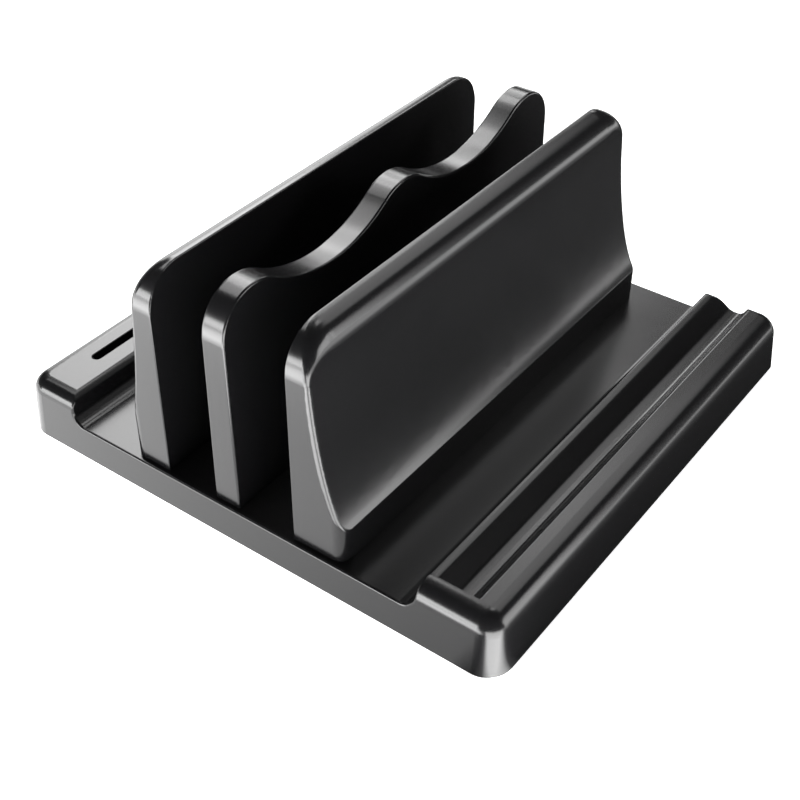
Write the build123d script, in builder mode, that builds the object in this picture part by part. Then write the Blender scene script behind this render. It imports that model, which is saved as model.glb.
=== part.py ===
from build123d import *
from math import atan, cos, degrees, radians, sin, tan
import os

os.makedirs("parts", exist_ok=True)

# Vertical laptop stand. X runs along the front, Y from front to back, Z up.
# The origin is on the table under the middle of the base. Millimetres.

# Base shell
base_width = 180.0
base_depth = 175.0
foot_proud = 1.0
floor_height = 11.3
block_height = 20.3
draft_angle = 4.6
plan_radius = 8.0
rim_radius = 0.8
bottom_edge_radius = 0.4
skirt_wall = 2.6
floor_plate = 3.0
block_skin = 3.4
left_edge_radius = 5.0
right_edge_radius = 6.4
back_edge_radius = 3.5
rib_thickness = 1.6
rib_offset = 18.0

# Channel between the two blocks
left_block_width = 22.0
right_block_width = 27.7
left_wall_fillet = 4.5
right_wall_fillet = 5.0
left_block_edge_radius = 2.5
ridge_edge_radius = 1.0

# Card slot in the left block
card_slot_width = 3.1
card_slot_inset = 12.2
card_slot_end_margin = 20.5
card_slot_depth = 12.0
card_slot_skin = 1.6
card_slot_edge_radius = 0.4

# Phone groove in the right block
groove_width = 13.4
groove_depth = 4.9
groove_ridge = 2.7
groove_front_margin = 7.9
groove_foot_offset = 6.6
groove_floor_width = 4.0
groove_floor_radius = 4.5
groove_lip_radius = 3.0
groove_outer_lip_radius = 1.2
groove_corner_radius = 2.5

# Dividers
divider_front_inset = 2.9
left_divider_length = 160.0
middle_divider_length = 162.0
right_divider_length = 164.5
left_divider_top = 80.6
middle_divider_top = 82.5
right_divider_top = 82.2
left_face_x = -28.8
middle_centre_x = -5.7
right_face_x = 19.2
outer_thickness = 7.7
outer_crown_radius = 7.2
outer_end_radius = 13.0
foot_height = 11.0
left_foot_width = 14.4
right_foot_width = 18.2
flank_knee_run = 4.0
flank_knee_height = 19.7
flank_bend_height = 47.7
flank_start_height = 63.0
middle_edge_radius = 0.7
outer_edge_radius = 1.5
inner_edge_radius = 0.4
foot_front_radius = 4.0
foot_back_radius = 2.5
crown_end_radius = 1.4
crown_steps = 4
middle_base_thickness = 9.4
middle_top_thickness = 7.8
wave_front_radius = 13.5
wave_half_pitch = 34.0
wave_depth = 10.0
wave_crest_radius = 17.0

# Clamping hardware
screw_spread = 52.0
slide_travel = 10.0
screw_diameter = 4.0
screw_clearance = 0.3
screw_tip_gap = 0.5
head_diameter = 7.6
head_height = 2.4
key_size = 2.5
key_depth = 1.6
washer_diameter = 10.0
washer_thickness = 0.8
insert_diameter = 5.6
insert_length = 8.0
insert_bore_clearance = 0.05
insert_wall_clearance = 0.05

# Bottom cover and feet
cover_thickness = 2.0
cover_recess = 0.4
cover_clearance = 0.3
access_clearance = 1.0
cover_screw_diameter = 2.8
cover_screw_head = 5.4
cover_screw_head_height = 1.1
cover_screw_length = 6.0
boss_diameter = 7.0
boss_pilot_depth = 6.4
boss_inset_x = 11.0
boss_inset_y = 10.0
middle_boss_inset_x = 30.0
hole_clearance = 0.2
cross_length = 2.8
cross_width = 0.7
foot_chamfer = 0.3
head_chamfer = 0.3
rib_gap = 0.5
pad_foot_diameter = 15.0
pad_foot_recess = 0.9
pad_foot_inset = 22.0

# Levels and places that follow from the sizes above
base_bottom = foot_proud
floor_z = base_bottom + floor_height
block_z = base_bottom + block_height
half_width = base_width / 2
half_depth = base_depth / 2
draft = tan(radians(draft_angle))
channel_left = -half_width + left_block_width
channel_right = half_width - right_block_width
divider_front = -half_depth + divider_front_inset
divider_centre_y = divider_front + middle_divider_length / 2
middle_top_z = base_bottom + middle_divider_top
plate_under_z = floor_z - floor_plate
cover_bottom_z = base_bottom + cover_recess
cover_top_z = cover_bottom_z + cover_thickness
screw_rows = [divider_centre_y - screw_spread, divider_centre_y + screw_spread]
left_screw_x = left_face_x - left_foot_width / 2
right_screw_x = right_face_x + right_foot_width / 2
boss_x = half_width - boss_inset_x
boss_y = half_depth - boss_inset_y
boss_places = [(x, y) for x in (-boss_x, boss_x) for y in (-boss_y, boss_y)]
middle_boss_x = half_width - middle_boss_inset_x
middle_boss_places = [(-middle_boss_x, 0), (middle_boss_x, 0)]
foot_x = half_width - pad_foot_inset
foot_y = half_depth - pad_foot_inset
card_slot_x = card_slot_inset - half_width
card_slot_length = base_depth - 2 * card_slot_end_margin
card_bottom_z = block_z - card_slot_depth
cover_inset = skirt_wall + cover_clearance + draft * (cover_top_z - base_bottom)
wave_angle = 2 * degrees(atan(wave_depth / wave_half_pitch))
wave_dip_radius = wave_half_pitch / sin(radians(wave_angle)) - wave_crest_radius
insert_top_z = floor_z + insert_length
screw_tip_z = insert_top_z - screw_tip_gap
slot_length = slide_travel + screw_diameter + 2 * screw_clearance
slot_width = screw_diameter + 2 * screw_clearance
access_width = head_diameter + 2 * access_clearance
groove_left = channel_right + groove_ridge
groove_z = block_z - groove_depth
groove_under_z = groove_z - floor_plate
rib_rows = [
    screw_rows[0] - rib_offset,
    screw_rows[0] + rib_offset,
    divider_centre_y,
    screw_rows[1] - rib_offset,
    screw_rows[1] + rib_offset,
]
rib_columns = [
    left_screw_x - rib_offset,
    middle_centre_x + rib_offset / 2,
    right_screw_x + rib_offset,
]


# Hollow space under the base's top surface
with BuildPart() as core:
    with BuildSketch(Plane.XY.offset(base_bottom)):
        RectangleRounded(base_width - 2 * skirt_wall, base_depth - 2 * skirt_wall, plan_radius - skirt_wall)
    extrude(amount=block_height, taper=draft_angle)
    with BuildSketch(Plane.XZ):
        with BuildLine():
            Polyline(
                (-half_width, base_bottom),
                (-half_width, block_z - block_skin),
                (channel_left - block_skin, block_z - block_skin),
                (channel_left - block_skin, plate_under_z),
                (channel_right + block_skin, plate_under_z),
                (channel_right + block_skin, groove_under_z),
                (half_width, groove_under_z),
                (half_width, base_bottom),
                close=True,
            )
        make_face()
    extrude(amount=half_depth, both=True, mode=Mode.INTERSECT)

# Ribs that stiffen the floor plate from below
with BuildPart() as ribs:
    with BuildSketch(Plane.XY.offset(cover_top_z + rib_gap)):
        for y in rib_rows:
            with Locations((0, y)):
                Rectangle(base_width - skirt_wall, rib_thickness)
        for x in rib_columns:
            with Locations((x, 0)):
                Rectangle(rib_thickness, base_depth - skirt_wall)
    extrude(amount=floor_z - floor_plate / 2 - cover_top_z - rib_gap)

# Groove that holds a phone or tablet in the right block
with BuildPart() as groove:
    with BuildSketch(Plane.XZ.offset(half_depth - groove_front_margin)):
        with BuildLine():
            Polyline(
                (groove_left - groove_ridge / 2, block_z + 1),
                (groove_left - groove_ridge / 2, block_z),
                (groove_left, block_z),
                (groove_left + groove_foot_offset, groove_z),
                (groove_left + groove_foot_offset + groove_floor_width, groove_z),
                (groove_left + groove_width, block_z),
                (groove_left + groove_width + groove_outer_lip_radius, block_z),
                (groove_left + groove_width + groove_outer_lip_radius, block_z + 1),
                close=True,
            )
        make_face()
        fillet(vertices().group_by(Axis.Y)[0].sort_by(Axis.X)[0], radius=groove_floor_radius)
        fillet(vertices().group_by(Axis.Y)[0].sort_by(Axis.X)[-1], radius=groove_corner_radius)
        fillet(vertices().sort_by_distance((groove_left, block_z))[0], radius=groove_lip_radius)
        fillet(vertices().sort_by_distance((groove_left + groove_width, block_z))[0], radius=groove_outer_lip_radius)
    extrude(amount=-base_depth)

# Cutter that rounds the inner edge of a block's top; way is the block's side of the channel
def block_edge_cutter(edge_x, way, radius):
    with BuildPart() as cutter:
        with BuildSketch(Plane.XZ):
            with BuildLine():
                round_top = (edge_x + way * radius, block_z)
                round_low = (edge_x, block_z - radius)
                Polyline(round_low, (edge_x, block_z), round_top)
                RadiusArc(round_top, round_low, -way * radius)
            make_face()
        extrude(amount=base_depth, both=True)
    return cutter.part


# Base shell: two raised blocks beside a wide channel. It is made too deep and then cut off at the back.
with BuildPart() as base_shell:
    with BuildSketch(Plane.XY.offset(base_bottom)):
        with Locations((0, plan_radius)):
            RectangleRounded(base_width, base_depth + 2 * plan_radius, plan_radius)
    extrude(amount=block_height, taper=draft_angle)
    with BuildSketch(Plane.XZ):
        with BuildLine():
            Polyline(
                (channel_left, block_z + 1),
                (channel_left, floor_z),
                (channel_right, floor_z),
                (channel_right, block_z + 1),
                close=True,
            )
        make_face()
        fillet(vertices().group_by(Axis.Y)[0].sort_by(Axis.X)[0], radius=left_wall_fillet)
        fillet(vertices().group_by(Axis.Y)[0].sort_by(Axis.X)[-1], radius=right_wall_fillet)
    extrude(amount=base_depth, both=True, mode=Mode.SUBTRACT)
    block_tops = base_shell.faces().filter_by(Plane.XY).group_by(Axis.Z)[-1].sort_by(Axis.X)
    left_inner_edge = block_tops[0].edges().sort_by(Axis.X)[-1]
    right_inner_edge = block_tops[1].edges().sort_by(Axis.X)[0]
    fillet(block_tops[0].edges() - [left_inner_edge], radius=left_edge_radius)
    fillet(block_tops[1].edges() - [right_inner_edge], radius=right_edge_radius)
    with BuildSketch(Plane.YZ):
        with BuildLine():
            Polyline(
                (half_depth, base_bottom),
                (half_depth - draft * block_height, block_z),
                (base_depth, block_z),
                (base_depth, base_bottom),
                close=True,
            )
        make_face()
    extrude(amount=base_width, both=True, mode=Mode.SUBTRACT)
    for block_x in (-half_width, half_width):
        back_outline = base_shell.faces().sort_by(Axis.Y)[-1].edges()
        block_end = back_outline.sort_by_distance((block_x, half_depth, base_bottom + block_height / 2))[0]
        fillet(block_end, radius=back_edge_radius)
    rim_edges = base_shell.faces().filter_by(Plane.XY).sort_by(Axis.Z)[1].edges().sort_by(Axis.Y)
    fillet(rim_edges[0], radius=rim_radius)
    add(block_edge_cutter(channel_left, -1, left_block_edge_radius), mode=Mode.SUBTRACT)
    add(block_edge_cutter(channel_right, 1, ridge_edge_radius), mode=Mode.SUBTRACT)
    fillet(base_shell.faces().sort_by(Axis.Z)[0].edges(), radius=bottom_edge_radius)
    add(core.part, mode=Mode.SUBTRACT)
    add(ribs.part)
    with BuildSketch(Plane.XY.offset(cover_top_z)):
        with Locations(*middle_boss_places):
            Circle(boss_diameter / 2)
    extrude(amount=floor_z - floor_plate / 2 - cover_top_z)
    with BuildSketch(Plane.XY.offset(cover_top_z)):
        with Locations(*[(x, y) for x, y in boss_places if x > 0]):
            Circle(boss_diameter / 2)
    extrude(amount=groove_under_z + floor_plate / 2 - cover_top_z)
    with BuildSketch(Plane.XY.offset(cover_top_z)):
        with Locations(*[(x, y) for x, y in boss_places if x < 0]):
            Circle(boss_diameter / 2)
    extrude(amount=block_z - block_skin / 2 - cover_top_z)
    with BuildSketch(Plane.XY.offset(card_bottom_z - card_slot_skin)):
        with Locations((card_slot_x, 0)):
            Rectangle(card_slot_width + 2 * card_slot_skin, card_slot_length + 2 * card_slot_skin)
    extrude(amount=card_slot_depth + card_slot_skin - block_skin / 2)
    with BuildSketch(Plane.XY.offset(card_bottom_z)):
        with Locations((card_slot_x, 0)):
            SlotOverall(card_slot_length, card_slot_width, rotation=90)
    extrude(amount=card_slot_depth + 1, mode=Mode.SUBTRACT)
    card_slot_rim = base_shell.edges().filter_by(lambda e: abs(e.bounding_box().min.Z - block_z) < 0.001)
    card_slot_rim = card_slot_rim.sort_by_distance((card_slot_x, 0, block_z))
    fillet(card_slot_rim[0], radius=card_slot_edge_radius)
    add(groove.part, mode=Mode.SUBTRACT)
    with BuildSketch(Plane.XY.offset(plate_under_z - 1)):
        with Locations(*[(left_screw_x + slide_travel / 2, y) for y in screw_rows]):
            SlotOverall(slot_length, slot_width)
        with Locations(*[(right_screw_x - slide_travel / 2, y) for y in screw_rows]):
            SlotOverall(slot_length, slot_width)
        with Locations(*[(middle_centre_x, y) for y in screw_rows]):
            Circle(slot_width / 2)
    extrude(amount=floor_plate + 2, mode=Mode.SUBTRACT)
    with BuildSketch(Plane.XY.offset(cover_top_z)):
        with Locations(*boss_places, *middle_boss_places):
            Circle(cover_screw_diameter / 2 + insert_bore_clearance)
    extrude(amount=boss_pilot_depth - cover_thickness, mode=Mode.SUBTRACT)
base_shell.part.label = "base_shell"
export_step(base_shell.part, "parts/base_shell.step")


# Bottom cover, recessed in the shell, with windows over the divider screws
with BuildPart() as bottom_cover:
    with BuildSketch(Plane.XY.offset(cover_bottom_z)):
        RectangleRounded(
            base_width - 2 * cover_inset, base_depth - 2 * cover_inset, plan_radius - skirt_wall
        )
    extrude(amount=cover_thickness)
    with BuildSketch(Plane.XY.offset(cover_bottom_z)):
        with Locations(*[(left_screw_x + slide_travel / 2, y) for y in screw_rows]):
            SlotOverall(slide_travel + access_width, access_width)
        with Locations(*[(right_screw_x - slide_travel / 2, y) for y in screw_rows]):
            SlotOverall(slide_travel + access_width, access_width)
        with Locations(*[(middle_centre_x, y) for y in screw_rows]):
            Circle(access_width / 2)
    extrude(amount=cover_thickness, mode=Mode.SUBTRACT)
    with Locations(Plane.XY.offset(cover_bottom_z)):
        with Locations((0, 0)):
            with Locations(*[(x, y, 0) for x in (-foot_x, foot_x) for y in (-foot_y, foot_y)]):
                Cylinder(
                    pad_foot_diameter / 2 + hole_clearance,
                    pad_foot_recess,
                    align=(Align.CENTER, Align.CENTER, Align.MIN),
                    mode=Mode.SUBTRACT,
                )
            with Locations(*[(x, y, 0) for x, y in boss_places + middle_boss_places]):
                Cylinder(
                    cover_screw_diameter / 2 + hole_clearance,
                    cover_thickness,
                    align=(Align.CENTER, Align.CENTER, Align.MIN),
                    mode=Mode.SUBTRACT,
                )
                Cylinder(
                    cover_screw_head / 2 + hole_clearance,
                    cover_screw_head_height,
                    align=(Align.CENTER, Align.CENTER, Align.MIN),
                    mode=Mode.SUBTRACT,
                )
bottom_cover.part.label = "bottom_cover"
export_step(bottom_cover.part, "parts/bottom_cover.step")


# Side outline of an outer divider, with Y along the sketch and Z up it
def outer_side(length, top_z):
    with BuildSketch() as outline:
        with BuildLine():
            Polyline(
                (divider_front, floor_z),
                (divider_front, top_z),
                (divider_front + length, top_z),
                (divider_front + length, floor_z),
                close=True,
            )
        make_face()
        fillet(vertices().group_by(Axis.Y)[-1], radius=outer_end_radius)
    return outline.sketch


# What the crown's rounding takes off: X outwards from the flat side, Y up from the end arc's centre
def rounding_waste(radius):
    with BuildSketch() as waste:
        with BuildLine():
            upper_end = (outer_thickness - radius, outer_end_radius)
            lower_end = (outer_thickness, outer_end_radius - radius)
            Polyline(
                lower_end,
                (outer_thickness + outer_end_radius, outer_end_radius - radius),
                (outer_thickness + outer_end_radius, 2 * outer_end_radius),
                (outer_thickness - radius, 2 * outer_end_radius),
                upper_end,
            )
            RadiusArc(upper_end, lower_end, radius)
        make_face()
    return waste.sketch


# Cutter for the crown along an outer divider's top, which narrows to the edge radius round each end
def crown_cutter(face_x, side, length, top_z):
    arc_z = top_z - outer_end_radius
    front_y = divider_front + outer_end_radius
    back_y = divider_front + length - outer_end_radius
    with BuildPart() as cutter:
        with BuildSketch(Plane(origin=(face_x, front_y, arc_z), x_dir=(side, 0, 0), z_dir=(0, -side, 0))):
            add(rounding_waste(outer_crown_radius))
        extrude(amount=-side * (back_y - front_y))
        for centre_y, way in ((front_y, -1), (back_y, 1)):
            for step in range(crown_steps + 1):
                turn = radians(90 * step / crown_steps)
                share = (1 - cos(2 * turn)) / 2
                normal = (0, -side * sin(turn), side * way * cos(turn))
                with BuildSketch(Plane(origin=(face_x, centre_y, arc_z), x_dir=(side, 0, 0), z_dir=normal)):
                    add(rounding_waste(crown_end_radius + (outer_crown_radius - crown_end_radius) * share))
            loft()
    return cutter.part


# Outer divider: face_x is its flat side, side is the way its foot flares
def outer_divider(face_x, side, foot_width, length, top_z):
    foot_x = face_x + side * foot_width
    outer_x = face_x + side * outer_thickness
    with BuildPart() as divider:
        with BuildSketch(Plane.XZ.offset(-divider_front)):
            with BuildLine():
                foot = Line((face_x, floor_z), (foot_x, floor_z))
                foot_side = Line(foot @ 1, (foot_x, floor_z + foot_height))
                flank = Bezier(
                    foot_side @ 1,
                    (outer_x + side * flank_knee_run, floor_z + flank_knee_height),
                    (outer_x, floor_z + flank_bend_height),
                    (outer_x, floor_z + flank_start_height),
                )
                upper = Line(flank @ 1, (outer_x, top_z))
                top = Line(upper @ 1, (face_x, top_z))
                Line(top @ 1, foot @ 0)
            make_face()
        extrude(amount=-length)
        with BuildSketch(Plane.YZ.offset(face_x)):
            add(outer_side(length, top_z))
        extrude(amount=foot_width, both=True, mode=Mode.INTERSECT)
        foot_middle = (foot_x, divider_front, floor_z + foot_height / 2)
        fillet(divider.edges().sort_by_distance(foot_middle)[0], radius=foot_front_radius)
        foot_middle = (foot_x, divider_front + length, floor_z + foot_height / 2)
        fillet(divider.edges().sort_by_distance(foot_middle)[0], radius=foot_back_radius)
        fillet(divider.edges().sort_by_distance((outer_x, 0, top_z))[0], radius=outer_edge_radius)
        fillet(divider.edges().sort_by_distance((face_x, 0, top_z))[0], radius=inner_edge_radius)
        add(crown_cutter(face_x, side, length, top_z), mode=Mode.SUBTRACT)
        with BuildSketch(Plane.XY.offset(floor_z)):
            with Locations(*[(face_x + side * foot_width / 2, y) for y in screw_rows]):
                Circle(insert_diameter / 2 + insert_wall_clearance)
        extrude(amount=insert_length, mode=Mode.SUBTRACT)
    return divider.part


for name, face_x, side, foot_width, length, top in (
    ("left", left_face_x, -1, left_foot_width, left_divider_length, left_divider_top),
    ("right", right_face_x, 1, right_foot_width, right_divider_length, right_divider_top),
):
    divider = outer_divider(face_x, side, foot_width, length, base_bottom + top)
    divider.label = name + "_divider"
    export_step(divider, "parts/" + name + "_divider.step")


# Middle divider, with two dips in its top, thinner upwards
with BuildPart() as middle_divider:
    back_y = divider_front + middle_divider_length
    with BuildSketch(Plane.YZ.offset(middle_centre_x)):
        with BuildLine():
            front = Line((divider_front, floor_z), (divider_front, middle_top_z - wave_front_radius))
            crest = JernArc(front @ 1, (0, 1), wave_front_radius, -90)
            for _ in range(2):
                fall = JernArc(crest @ 1, crest % 1, wave_crest_radius, -wave_angle)
                dip = JernArc(fall @ 1, fall % 1, wave_dip_radius, 2 * wave_angle)
                crest = JernArc(dip @ 1, dip % 1, wave_crest_radius, -wave_angle)
            back = JernArc(crest @ 1, (1, 0), back_y - (crest @ 1).X, -90)
            Line(back @ 1, (back_y, floor_z))
            Line((back_y, floor_z), front @ 0)
        make_face()
    extrude(amount=middle_base_thickness, both=True)
    with BuildSketch(Plane.XZ):
        with BuildLine():
            Polyline(
                (middle_centre_x - middle_base_thickness / 2, floor_z),
                (middle_centre_x - middle_top_thickness / 2, middle_top_z),
                (middle_centre_x + middle_top_thickness / 2, middle_top_z),
                (middle_centre_x + middle_base_thickness / 2, floor_z),
                close=True,
            )
        make_face()
    extrude(amount=half_depth, both=True, mode=Mode.INTERSECT)
    outline_edges = middle_divider.edges() - middle_divider.edges().filter_by(Axis.X)
    outline_edges = outline_edges - middle_divider.edges().group_by(Axis.Z)[0]
    fillet(outline_edges, radius=middle_edge_radius)
    with BuildSketch(Plane.XY.offset(floor_z)):
        with Locations(*[(middle_centre_x, y) for y in screw_rows]):
            Circle(insert_diameter / 2 + insert_wall_clearance)
    extrude(amount=insert_length, mode=Mode.SUBTRACT)
middle_divider.part.label = "middle_divider"
export_step(middle_divider.part, "parts/middle_divider.step")


# Threaded insert in a divider's foot
def threaded_insert(x, y):
    with BuildPart() as insert:
        with BuildSketch(Plane.XY.offset(floor_z)):
            with Locations((x, y)):
                Circle(insert_diameter / 2)
                Circle(screw_diameter / 2 + insert_bore_clearance, mode=Mode.SUBTRACT)
        extrude(amount=insert_length)
    return insert.part


# Washer under the floor plate
def washer(x, y):
    with BuildPart() as ring:
        with BuildSketch(Plane.XY.offset(plate_under_z - washer_thickness)):
            with Locations((x, y)):
                Circle(washer_diameter / 2)
                Circle(screw_diameter / 2 + hole_clearance, mode=Mode.SUBTRACT)
        extrude(amount=washer_thickness)
    return ring.part


# Hex socket screw, its head at seat_z facing down
def divider_screw(x, y, seat_z):
    with BuildPart() as screw:
        with BuildSketch(Plane.XY.offset(seat_z)):
            with Locations((x, y)):
                Circle(head_diameter / 2)
        extrude(amount=-head_height)
        with BuildSketch(Plane.XY.offset(seat_z)):
            with Locations((x, y)):
                Circle(screw_diameter / 2)
        extrude(amount=screw_tip_z - seat_z)
        with BuildSketch(Plane.XY.offset(seat_z - head_height)):
            with Locations((x, y)):
                RegularPolygon(key_size / 2, 6, major_radius=False)
        extrude(amount=key_depth, mode=Mode.SUBTRACT)
        chamfer(screw.faces().sort_by(Axis.Z)[-1].edges(), length=screw_tip_gap)
        chamfer(screw.faces().sort_by(Axis.Z)[0].edges().filter_by(GeomType.CIRCLE), length=head_chamfer)
    return screw.part


# Cross-recess screw that holds the bottom cover
def cover_screw(x, y):
    with BuildPart() as screw:
        with BuildSketch(Plane.XY.offset(cover_bottom_z)):
            with Locations((x, y)):
                Circle(cover_screw_head / 2)
        extrude(amount=cover_screw_head_height)
        with BuildSketch(Plane.XY.offset(cover_bottom_z)):
            with Locations((x, y)):
                Circle(cover_screw_diameter / 2)
        extrude(amount=cover_screw_length)
        with BuildSketch(Plane.XY.offset(cover_bottom_z)):
            with Locations((x, y)):
                Rectangle(cross_length, cross_width)
                Rectangle(cross_width, cross_length)
        extrude(amount=cover_screw_head_height / 2, mode=Mode.SUBTRACT)
    return screw.part


# Silicone foot in its recess in the bottom cover
def silicone_foot(x, y):
    with BuildPart() as foot:
        with BuildSketch(Plane.XY):
            with Locations((x, y)):
                Circle(pad_foot_diameter / 2)
        extrude(amount=cover_bottom_z + pad_foot_recess)
        chamfer(foot.faces().sort_by(Axis.Z)[0].edges(), length=foot_chamfer)
    return foot.part


screw_columns = (
    ("left", left_screw_x, plate_under_z - washer_thickness),
    ("middle", middle_centre_x, plate_under_z),
    ("right", right_screw_x, plate_under_z - washer_thickness),
)
for name, x, seat_z in screw_columns:
    for row, y in zip(("front", "rear"), screw_rows):
        insert = threaded_insert(x, y)
        insert.label = name + "_insert_" + row
        export_step(insert, "parts/" + insert.label + ".step")
        screw = divider_screw(x, y, seat_z)
        screw.label = name + "_screw_" + row
        export_step(screw, "parts/" + screw.label + ".step")
        if name != "middle":
            ring = washer(x, y)
            ring.label = name + "_washer_" + row
            export_step(ring, "parts/" + ring.label + ".step")

for name, x, y in (
    ("front_left", -foot_x, -foot_y),
    ("front_right", foot_x, -foot_y),
    ("rear_left", -foot_x, foot_y),
    ("rear_right", foot_x, foot_y),
):
    foot = silicone_foot(x, y)
    foot.label = "foot_" + name
    export_step(foot, "parts/" + foot.label + ".step")

for name, x, y in (
    ("front_left", -boss_x, -boss_y),
    ("middle_left", -middle_boss_x, 0),
    ("rear_left", -boss_x, boss_y),
    ("front_right", boss_x, -boss_y),
    ("middle_right", middle_boss_x, 0),
    ("rear_right", boss_x, boss_y),
):
    screw = cover_screw(x, y)
    screw.label = "cover_screw_" + name
    export_step(screw, "parts/" + screw.label + ".step")
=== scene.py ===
"""Looks of a vertical laptop stand: black moulded plastic on a pale floor, in soft studio light."""

import math

import bpy
from mathutils import Matrix, Vector


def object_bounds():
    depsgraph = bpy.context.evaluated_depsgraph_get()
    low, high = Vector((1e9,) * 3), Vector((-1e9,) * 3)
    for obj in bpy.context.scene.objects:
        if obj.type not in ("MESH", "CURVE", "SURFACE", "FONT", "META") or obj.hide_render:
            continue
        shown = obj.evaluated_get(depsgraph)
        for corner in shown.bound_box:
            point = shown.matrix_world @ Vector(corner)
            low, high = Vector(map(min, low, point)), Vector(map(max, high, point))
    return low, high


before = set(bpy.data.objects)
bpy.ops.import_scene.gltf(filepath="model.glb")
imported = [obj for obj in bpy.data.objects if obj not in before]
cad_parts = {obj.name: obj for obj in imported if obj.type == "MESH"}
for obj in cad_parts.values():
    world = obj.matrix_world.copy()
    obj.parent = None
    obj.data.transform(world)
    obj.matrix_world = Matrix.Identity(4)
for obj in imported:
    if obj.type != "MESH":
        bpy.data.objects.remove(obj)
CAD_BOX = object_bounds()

bl_info = {
    "name": "Vertical Laptop Stand Looks",
    "version": (1, 0, 0),
    "blender": (4, 5, 0),
    "location": "View3D > Sidebar > Laptop Stand",
    "description": "Finishes, studio light and camera for a vertical laptop stand",
    "category": "Object",
}

HALF_WIDTH, HALF_DEPTH = CAD_BOX[1][0], CAD_BOX[1][1]

X, Y = 0, 1
BLACK = (0.0, 0.0, 0.0, 1.0)
WHITE = (1.0, 1.0, 1.0, 1.0)

# Finishes: refraction, strength of the plastic's grain, and what lies on the surfaces

PLASTIC_IOR = 1.5
SILICONE_IOR = 1.43
PLASTIC_GRAIN = 0.012
DUST_COLOUR = (0.30, 0.30, 0.30)
LINT_COLOUR = (0.22, 0.22, 0.23)

# Floor, which stops glowing at a margin inside the base's edge, over a short fade. The dark patch this leaves
# under the base is painted shade.

FLOOR_GLOW = 0.9
BASE_MARGIN = 0.0025
BASE_FADE = 0.008

# Card that the camera doesn't see, glowing with painted floor light and painted shadow for the stand to
# reflect. Ramps across the stand start half a metre to its left.

CARD_SIZE = 4.0
CARD_HEIGHT = 0.0001
CARD_GLOW = 10.0
CORNER_SLOPE = 0.35
ACROSS_START = -0.5

# Light and camera

WORLD_LIGHT = 0.05
LIGHT_TARGET = Vector((0.0, 0.0, 0.02))
SENSOR_WIDTH = 36.0
NEAREST_SEEN = 0.01


# Shader building blocks


class Socket:
    """An output socket that takes part in Python arithmetic through Math nodes."""

    def __init__(self, shader, output):
        self.shader = shader
        self.output = output

    def _math(self, operation, *values):
        return self.shader.node("ShaderNodeMath", {"operation": operation}, dict(enumerate(values)))

    def __add__(self, other):
        return self._math("ADD", self, other)

    def __sub__(self, other):
        return self._math("SUBTRACT", self, other)

    def __rsub__(self, other):
        return self._math("SUBTRACT", other, self)

    def __mul__(self, other):
        return self._math("MULTIPLY", self, other)

    __radd__ = __add__
    __rmul__ = __mul__


class Shader:
    """The node tree of a new material or world, built through one method."""

    def __init__(self, owner):
        self.owner = owner
        self.owner.use_nodes = True
        self.tree = self.owner.node_tree
        self.tree.nodes.clear()

    def node(self, kind, settings=None, inputs=None, output=0):
        """Adds one node: settings first, then its sockets' values or links."""
        new = self.tree.nodes.new(kind)
        for key, value in (settings or {}).items():
            if key == "stops":
                self.set_stops(new.color_ramp, value)
            else:
                setattr(new, key, value)
        for key, value in (inputs or {}).items():
            socket = new.inputs[key]
            if isinstance(value, Socket):
                self.tree.links.new(value.output, socket)
            else:
                socket.default_value = value
        return Socket(self, new.outputs[output]) if new.outputs else None

    def set_stops(self, color_ramp, stops):
        while len(color_ramp.elements) < len(stops):
            color_ramp.elements.new(1.0)
        for element, (place, level) in zip(color_ramp.elements, stops):
            element.position = place
            element.color = (level, level, level, 1.0)

    def place(self):
        """Object coordinates, which are metres in the part's frame."""
        return self.node("ShaderNodeTexCoord", output="Object")

    def along(self, axis):
        """One of the object coordinates."""
        return self.node("ShaderNodeSeparateXYZ", None, {0: self.place()}, output=axis)

    def stretch(self, scale):
        """Object coordinates scaled by different amounts along X, Y and Z."""
        return self.node("ShaderNodeVectorMath", {"operation": "MULTIPLY"}, {0: self.place(), 1: scale})

    def noise(self, scale, detail=2.0, roughness=0.5, place=None):
        inputs = {"Vector": place or self.place(), "Scale": scale, "Detail": detail, "Roughness": roughness}
        return self.node("ShaderNodeTexNoise", None, inputs)

    def ramp(self, value, *stops, start=0.0):
        """A level that follows the stops, which are pairs of a value and a level. It covers values from start
        to start + 1, and beyond its stops it keeps the level of the nearest one."""
        if start:
            value = value - start
        shifted = [(place - start, level) for place, level in stops]
        return self.node("ShaderNodeValToRGB", {"stops": shifted}, {"Fac": value})

    def shade_under_base(self, axis, half):
        """1 under the base and 0 outside it, along one axis: the mask of the painted shade under the base."""
        outer = half - BASE_MARGIN
        inner = outer - BASE_FADE
        stops = (-outer, 0.0), (-inner, 1.0), (inner, 1.0), (outer, 0.0)
        return self.ramp(self.along(axis), *stops, start=ACROSS_START)

    def blend(self, mask, first, second):
        """Mixes two colours by a mask."""
        settings = {"data_type": "RGBA", "blend_type": "MIX"}
        return self.node("ShaderNodeMix", settings, {0: mask, 6: first, 7: second}, output=2)

    def bump(self, height, strength, distance, normal=None):
        inputs = {"Height": height, "Strength": strength, "Distance": distance}
        if normal is not None:
            inputs["Normal"] = normal
        return self.node("ShaderNodeBump", None, inputs)

    def principled(self, inputs):
        return self.node("ShaderNodeBsdfPrincipled", None, inputs)

    def close(self, surface, output="ShaderNodeOutputMaterial"):
        """Ends the tree with its output and returns the material or world."""
        self.node(output, None, {"Surface": surface})
        return self.owner


def new_material(name):
    return Shader(bpy.data.materials.new(name))


def colour(rgb, share=1.0):
    return tuple(channel * share for channel in rgb[:3]) + (1.0,)


# Finishes of the stand. A noise's scale is about how many of its waves fit in a metre.


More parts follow.
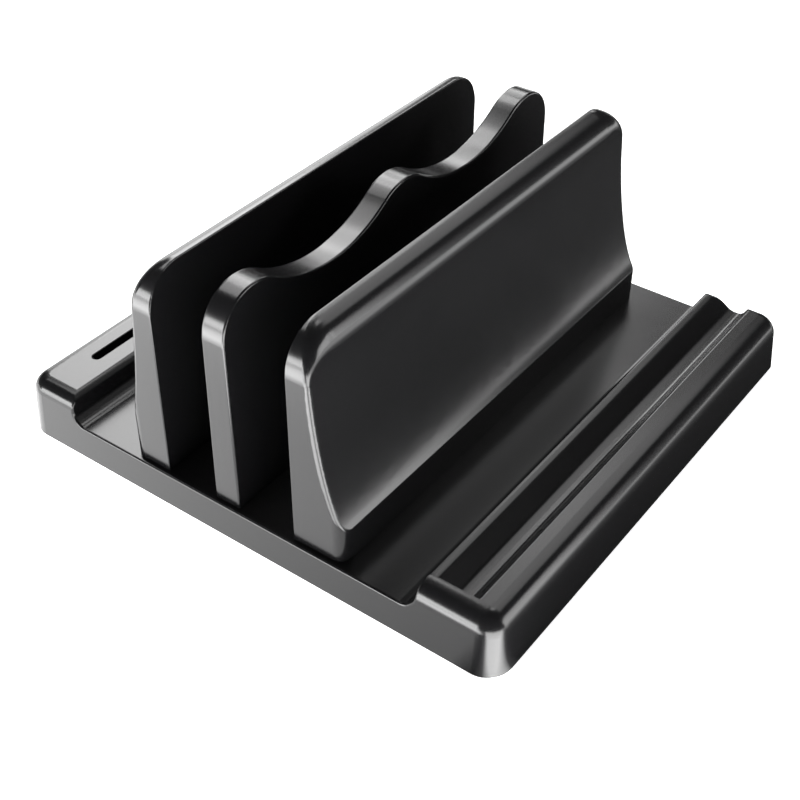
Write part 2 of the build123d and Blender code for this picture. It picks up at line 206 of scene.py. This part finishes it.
def moulded_plastic(name, rgb, roughness):
    """Smooth injection-moulded plastic: faint flow waves, fine grain and a little handling wear."""
    shader = new_material(name)
    flow = shader.noise(1.0, 2.0, 0.4, shader.stretch((14.0, 9.0, 20.0)))
    smear = shader.noise(60.0, 4.0, 0.6)
    speck = shader.noise(2600.0, 2.0, 0.5)
    dust = shader.ramp(shader.noise(900.0, 3.0, 0.7), (0.70, 0.0), (0.78, 1.0))
    tint = shader.blend(flow, colour(rgb, 0.92), colour(rgb, 1.08))
    grain = shader.bump(speck, PLASTIC_GRAIN, 0.00003)
    return shader.close(shader.principled({
        "Base Color": shader.blend(dust * 0.05, tint, colour(DUST_COLOUR)),
        "Roughness": roughness - 0.02 + flow * 0.02 + smear * 0.04,
        "Normal": shader.bump(flow, 0.02, 0.0004, grain),
        "IOR": PLASTIC_IOR,
    }))


def silicone(name, rgb):
    """Matte silicone rubber with a fine skin and faint lint."""
    shader = new_material(name)
    skin = shader.noise(1400.0, 3.0, 0.6)
    cloud = shader.noise(35.0, 3.0, 0.5)
    lint = shader.ramp(shader.noise(420.0, 4.0, 0.75), (0.68, 0.0), (0.76, 1.0))
    tint = shader.blend(cloud, colour(rgb, 0.85), colour(rgb, 1.15))
    return shader.close(shader.principled({
        "Base Color": shader.blend(lint * 0.06, tint, colour(LINT_COLOUR)),
        "Roughness": 0.48 + cloud * 0.1,
        "Normal": shader.bump(skin, 0.25, 0.00005),
        "IOR": SILICONE_IOR,
    }))


def cover_plastic(name, rgb):
    """Spark-eroded matte plastic of the bottom cover."""
    shader = new_material(name)
    spark = shader.noise(1900.0, 2.0, 0.6)
    cloud = shader.noise(30.0, 3.0, 0.5)
    return shader.close(shader.principled({
        "Base Color": shader.blend(cloud, colour(rgb, 0.9), colour(rgb, 1.15)),
        "Roughness": 0.55 + spark * 0.12,
        "Normal": shader.bump(spark, 0.5, 0.00008),
        "IOR": PLASTIC_IOR,
    }))


def zinc_steel(name, rgb):
    """Zinc-plated steel with turning marks and small dull patches."""
    shader = new_material(name)
    turning = shader.noise(1.0, 2.0, 0.5, shader.stretch((150.0, 150.0, 6000.0)))
    patch = shader.noise(480.0, 3.0, 0.6)
    return shader.close(shader.principled({
        "Base Color": shader.blend(patch, colour(rgb, 0.8), colour(rgb, 1.15)),
        "Metallic": 1.0,
        "Roughness": 0.24 + patch * 0.16,
        "Normal": shader.bump(turning, 0.2, 0.00004),
    }))


def moulded_in_brass(name, rgb):
    """Brass with knurled sides."""
    shader = new_material(name)
    diagonal = {"bands_direction": "DIAGONAL"}
    knurl = shader.node("ShaderNodeTexWave", diagonal, {"Vector": shader.place(), "Scale": 700.0})
    patch = shader.noise(500.0, 3.0, 0.6)
    return shader.close(shader.principled({
        "Base Color": shader.blend(patch, colour(rgb, 0.75), colour(rgb, 1.1)),
        "Metallic": 1.0,
        "Roughness": 0.3 + patch * 0.15,
        "Normal": shader.bump(knurl, 0.5, 0.0001),
    }))


# Finishes of the studio


def floor_paper(name, rgb):
    """Pale paper that glows evenly, though not under the base, where the missing glow is painted shade, and
    is clear when it is seen from below.
    """
    shader = new_material(name)
    cloud = shader.noise(3.0, 2.0, 0.5)
    paper = shader.principled({
        "Base Color": shader.blend(cloud, colour(rgb, 0.99), colour(rgb)),
        "Roughness": 0.9,
        # The glow is cut out under the base: painted shade under the stand.
        "Emission Color": 1.0 - shader.shade_under_base(X, HALF_WIDTH) * shader.shade_under_base(Y, HALF_DEPTH),
        "Emission Strength": FLOOR_GLOW,
    })
    below = shader.node("ShaderNodeNewGeometry", output="Backfacing")
    clear = shader.node("ShaderNodeBsdfTransparent")
    return shader.close(shader.node("ShaderNodeMixShader", None, {0: below, 1: paper, 2: clear}))


def painted_floor_light_paper(name):
    """Black paper with a soft glow in front of the stand and farther out on both sides: painted floor light,
    and painted shadow where it stays dark under the stand and beside its right side. Across is measured along
    X from the stand's middle, and ahead from there towards the front."""
    shader = new_material(name)
    across = shader.along(X)
    ahead = shader.along(Y) * -1.0
    corner_line = HALF_WIDTH - CORNER_SLOPE * HALF_DEPTH

    # The card stays black under the stand and glows only in front of it: painted shade under the stand.
    in_front = shader.ramp(ahead, (HALF_DEPTH - 0.0095, 0.0), (HALF_DEPTH - 0.0015, 1.0))
    # Painted pool of floor light, brighter to the left and falling to painted shade by the base's right front
    # corner.
    pool_stops = (-0.20, 0.20), (-0.12, 0.36), (0.06, 0.15), (0.074, 0.14), (0.081, 0.01)
    pool = shader.ramp(across, *pool_stops, start=ACROSS_START)
    # Painted patch of floor light off the front right corner, which puts a highlight on that corner.
    wedge_stops = (corner_line - 0.0049, 0.0), (corner_line - 0.0009, 1.0), (0.22, 1.0), (0.50, 0.4)
    wedge = shader.ramp(across - ahead * CORNER_SLOPE, *wedge_stops, start=ACROSS_START)
    # Painted strips of floor light farther in front of the stand.
    strip = shader.ramp(ahead, (0.165, 0.0), (0.19, 1.0), (0.60, 1.0), (0.90, 0.5))
    strip_span_stops = (-0.40, 0.4), (-0.22, 1.0), (0.0, 1.0), (0.07, 0.1)
    strip_span = shader.ramp(across, *strip_span_stops, start=ACROSS_START)
    spot = shader.ramp(ahead, (0.13, 0.0), (0.14, 1.0), (0.22, 1.0), (0.26, 0.0))
    spot_span_stops = (0.0, 0.0), (0.02, 1.0), (0.08, 1.0), (0.10, 0.0)
    spot_span = shader.ramp(across, *spot_span_stops, start=ACROSS_START)
    # Painted floor light out to the left of the stand.
    far_left = shader.ramp(across, (-0.115, 0.15), (-0.095, 0.0), start=ACROSS_START)
    # Painted shadow beside the stand's right side, turning into painted floor light farther out.
    far_right_stops = (0.10, 0.004), (0.12, 0.03), (0.16, 0.08), (0.24, 0.35)
    right_light_and_shadow = shader.ramp(across, *far_right_stops, start=ACROSS_START)

    front_glow = (pool + wedge * 1.1) * in_front + strip * strip_span + spot * spot_span
    side_glow = (far_left + right_light_and_shadow) * (1.0 - in_front)
    return shader.close(shader.principled({
        "Base Color": BLACK,
        "Roughness": 1.0,
        "Specular IOR Level": 0.0,
        "Emission Color": front_glow + side_glow,
        "Emission Strength": CARD_GLOW,
    }))


def studio_air(name):
    """A world that gives little light and looks white itself."""
    shader = Shader(bpy.data.worlds.new(name))
    seen = shader.node("ShaderNodeLightPath", output="Is Camera Ray")
    strength = seen * (1.0 - WORLD_LIGHT) + WORLD_LIGHT
    air = shader.node("ShaderNodeBackground", None, {"Color": WHITE, "Strength": strength})
    return shader.close(air, "ShaderNodeOutputWorld")


# Settings that a user would change


class FinishSettings(bpy.types.PropertyGroup):
    body_colour: bpy.props.FloatVectorProperty(
        name="Plastic colour", description="Colour of the moulded plastic", subtype="COLOR", size=3,
        min=0.0, max=1.0, default=(0.0055, 0.0055, 0.0059),
    )
    body_roughness: bpy.props.FloatProperty(
        name="Plastic roughness", description="How dull the plastic's shine is", subtype="FACTOR",
        min=0.0, max=1.0, default=0.2,
    )
    foot_colour: bpy.props.FloatVectorProperty(
        name="Foot colour", description="Colour of the silicone feet", subtype="COLOR", size=3,
        min=0.0, max=1.0, default=(0.035, 0.035, 0.037),
    )
    cover_colour: bpy.props.FloatVectorProperty(
        name="Cover colour", description="Colour of the bottom cover", subtype="COLOR", size=3,
        min=0.0, max=1.0, default=(0.022, 0.022, 0.023),
    )
    steel_colour: bpy.props.FloatVectorProperty(
        name="Steel colour", description="Colour of the plated screws and washers", subtype="COLOR", size=3,
        min=0.0, max=1.0, default=(0.56, 0.57, 0.60),
    )
    brass_colour: bpy.props.FloatVectorProperty(
        name="Brass colour", description="Colour of the threaded inserts", subtype="COLOR", size=3,
        min=0.0, max=1.0, default=(0.72, 0.52, 0.24),
    )


class StudioSettings(bpy.types.PropertyGroup):
    floor_size: bpy.props.FloatProperty(
        name="Floor size", description="Width of the floor", subtype="DISTANCE", unit="LENGTH", default=12.0,
    )
    floor_colour: bpy.props.FloatVectorProperty(
        name="Floor colour", description="Colour of the floor", subtype="COLOR", size=3,
        min=0.0, max=1.0, default=(0.92, 0.92, 0.92),
    )
    camera_place: bpy.props.FloatVectorProperty(
        name="Camera place", description="Where the camera stands", subtype="TRANSLATION", unit="LENGTH",
        size=3, default=(0.2065, -0.2918, 0.2893),
    )
    camera_azimuth: bpy.props.FloatProperty(
        name="Camera azimuth", description="How far the camera looks to the left of straight ahead",
        subtype="ANGLE", unit="ROTATION", default=math.radians(35.98),
    )
    camera_elevation: bpy.props.FloatProperty(
        name="Camera elevation", description="How far the camera looks down",
        subtype="ANGLE", unit="ROTATION", default=math.radians(39.15),
    )
    camera_roll: bpy.props.FloatProperty(
        name="Camera roll", description="How far the camera leans", subtype="ANGLE", unit="ROTATION",
        default=math.radians(0.46),
    )
    camera_lens: bpy.props.FloatProperty(
        name="Lens", description="Focal length in millimetres, on a sensor 36 mm wide", default=61.94,
    )


# Putting finishes on the solids, and laying out the studio


def dress(material, *names):
    """Gives a finish to the CAD nodes of these names."""
    for name in names:
        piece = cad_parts[name]
        if not piece.material_slots:
            piece.data.materials.append(material)
        for slot in piece.material_slots:
            slot.material = material


def nodes_with(*words):
    """The names of the CAD nodes that hold one of these words."""
    return [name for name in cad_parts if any(word in name for word in words)]


def put_in_scene(name, data):
    thing = bpy.data.objects.new(name, data)
    bpy.context.scene.collection.objects.link(thing)
    return thing


def lay_sheet(name, size, height, material):
    """Lays a square sheet round the stand's middle. It casts no shadow."""
    half = size / 2
    mesh = bpy.data.meshes.new(name)
    corners = [(-half, -half, 0), (half, -half, 0), (half, half, 0), (-half, half, 0)]
    mesh.from_pydata(corners, [], [(0, 1, 2, 3)])
    mesh.materials.append(material)
    sheet = put_in_scene(name, mesh)
    sheet.location.z = height
    sheet.visible_shadow = False
    return sheet


def direction(azimuth, elevation):
    """A unit vector. Azimuth turns from the back (+Y) towards the left, and both angles are in radians."""
    level = math.cos(elevation)
    return Vector((-math.sin(azimuth) * level, math.cos(azimuth) * level, math.sin(elevation)))


def softbox(name, azimuth, elevation, distance, spread, brightness):
    """An area light that faces the stand. Angles are in degrees and the distance is in metres. Spread is how
    wide and high the light looks from the stand, and brightness is its radiance."""
    width, height = (2.0 * distance * math.tan(math.radians(angle) / 2.0) for angle in spread)
    lamp = bpy.data.lights.new(name, "AREA")
    lamp.shape = "RECTANGLE"
    lamp.size = width
    lamp.size_y = height
    lamp.energy = brightness * math.pi * width * height
    away = direction(math.radians(azimuth), math.radians(elevation))
    box = put_in_scene(name, lamp)
    box.location = LIGHT_TARGET + away * distance
    box.rotation_euler = away.to_track_quat("Z", "Y").to_euler()


# One operator for each group of pieces, and one for the studio


class STAND_OT_base(bpy.types.Operator):
    """Finish the base shell in black moulded plastic"""

    bl_idname = "stand.base"
    bl_label = "Base shell"

    def execute(self, context):
        finish = context.scene.stand_finish
        dress(moulded_plastic("base_plastic", finish.body_colour, finish.body_roughness), "base_shell")
        return {"FINISHED"}


class STAND_OT_dividers(bpy.types.Operator):
    """Finish the three dividers in the base's plastic"""

    bl_idname = "stand.dividers"
    bl_label = "Dividers"

    def execute(self, context):
        finish = context.scene.stand_finish
        plastic = moulded_plastic("divider_plastic", finish.body_colour, finish.body_roughness)
        dress(plastic, "left_divider", "middle_divider", "right_divider")
        return {"FINISHED"}


class STAND_OT_feet(bpy.types.Operator):
    """Finish the four feet in silicone"""

    bl_idname = "stand.feet"
    bl_label = "Feet"

    def execute(self, context):
        finish = context.scene.stand_finish
        dress(silicone("foot_silicone", finish.foot_colour), *nodes_with("foot_"))
        return {"FINISHED"}


class STAND_OT_hardware(bpy.types.Operator):
    """Finish the screws, washers, inserts and bottom cover"""

    bl_idname = "stand.hardware"
    bl_label = "Cover and hardware"

    def execute(self, context):
        finish = context.scene.stand_finish
        dress(cover_plastic("cover_plastic", finish.cover_colour), "bottom_cover")
        dress(zinc_steel("plated_steel", finish.steel_colour), *nodes_with("screw", "washer"))
        dress(moulded_in_brass("insert_brass", finish.brass_colour), *nodes_with("insert"))
        return {"FINISHED"}


class STAND_OT_studio(bpy.types.Operator):
    """Add the floor, the card of painted floor light and shadow, the soft light and the camera"""

    bl_idname = "stand.studio"
    bl_label = "Studio"

    def execute(self, context):
        studio = context.scene.stand_studio
        self.add_sheets(studio)
        self.add_light(context)
        self.add_camera(context, studio)
        return {"FINISHED"}

    def add_sheets(self, studio):
        """Lays the floor, and just over it the card of painted floor light and shadow, which the camera
        doesn't see.
        """
        lay_sheet("floor", studio.floor_size, 0.0, floor_paper("floor_paper", studio.floor_colour))
        card = lay_sheet("painted_floor_light_card", CARD_SIZE, CARD_HEIGHT, painted_floor_light_paper("painted_floor_light_paper"))
        card.visible_camera = False

    def add_light(self, context):
        context.scene.world = studio_air("studio_air")
        softbox("key_box", 52.5, 40.0, 2.4, (15.0, 40.0), 8.2)
        softbox("key_wing", 36.0, 36.0, 2.4, (16.0, 18.0), 5.2)
        softbox("key_foot", 26.0, 25.0, 2.4, (18.0, 9.0), 5.0)
        softbox("key_low", 53.0, 8.0, 2.4, (24.0, 24.0), 2.8)
        softbox("left_roof", 80.0, 56.0, 2.4, (24.0, 12.0), 5.4)
        softbox("back_box", 0.0, 50.0, 2.6, (42.0, 20.0), 2.1)
        softbox("back_roof", 7.5, 66.0, 2.4, (14.0, 10.0), 5.0)
        softbox("front_strip", 152.0, 5.0, 2.2, (32.0, 16.0), 14.0)
        softbox("right_strip", -65.0, 14.0, 2.4, (28.0, 28.0), 6.5)
        softbox("under_box", 0.0, -90.0, 2.0, (50.0, 50.0), 5.0)
        context.scene.view_settings.view_transform = "Standard"

    def add_camera(self, context, studio):
        ahead = direction(studio.camera_azimuth, -studio.camera_elevation)
        level = ahead.cross(Vector((0.0, 0.0, 1.0))).normalized()
        down = ahead.cross(level)
        roll = studio.camera_roll
        right = math.cos(roll) * level - math.sin(roll) * down
        lower = math.sin(roll) * level + math.cos(roll) * down
        turn = Matrix((right, -lower, -ahead)).transposed()
        lens = bpy.data.cameras.new("camera")
        lens.sensor_width = SENSOR_WIDTH
        lens.lens = studio.camera_lens
        lens.clip_start = NEAREST_SEEN
        camera = put_in_scene("camera", lens)
        camera.matrix_world = Matrix.Translation(studio.camera_place) @ turn.to_4x4()
        context.scene.camera = camera


OPERATORS = (STAND_OT_base, STAND_OT_dividers, STAND_OT_feet, STAND_OT_hardware, STAND_OT_studio)


class STAND_PT_panel(bpy.types.Panel):
    """Lists the stand's finishes and its studio"""

    bl_idname = "STAND_PT_panel"
    bl_label = "Laptop Stand"
    bl_space_type = "VIEW_3D"
    bl_region_type = "UI"
    bl_category = "Laptop Stand"

    def draw(self, context):
        for group in (context.scene.stand_finish, context.scene.stand_studio):
            box = self.layout.box()
            for key in group.__annotations__:
                box.prop(group, key)
        for operator in OPERATORS:
            self.layout.operator(operator.bl_idname)


CLASSES = (FinishSettings, StudioSettings) + OPERATORS + (STAND_PT_panel,)


def register():
    for cls in CLASSES:
        bpy.utils.register_class(cls)
    bpy.types.Scene.stand_finish = bpy.props.PointerProperty(type=FinishSettings)
    bpy.types.Scene.stand_studio = bpy.props.PointerProperty(type=StudioSettings)


def unregister():
    del bpy.types.Scene.stand_studio
    del bpy.types.Scene.stand_finish
    for cls in reversed(CLASSES):
        bpy.utils.unregister_class(cls)


def main():
    register()
    bpy.ops.stand.base()
    bpy.ops.stand.dividers()
    bpy.ops.stand.feet()
    bpy.ops.stand.hardware()
    bpy.ops.stand.studio()


if __name__ == "__main__":
    main()
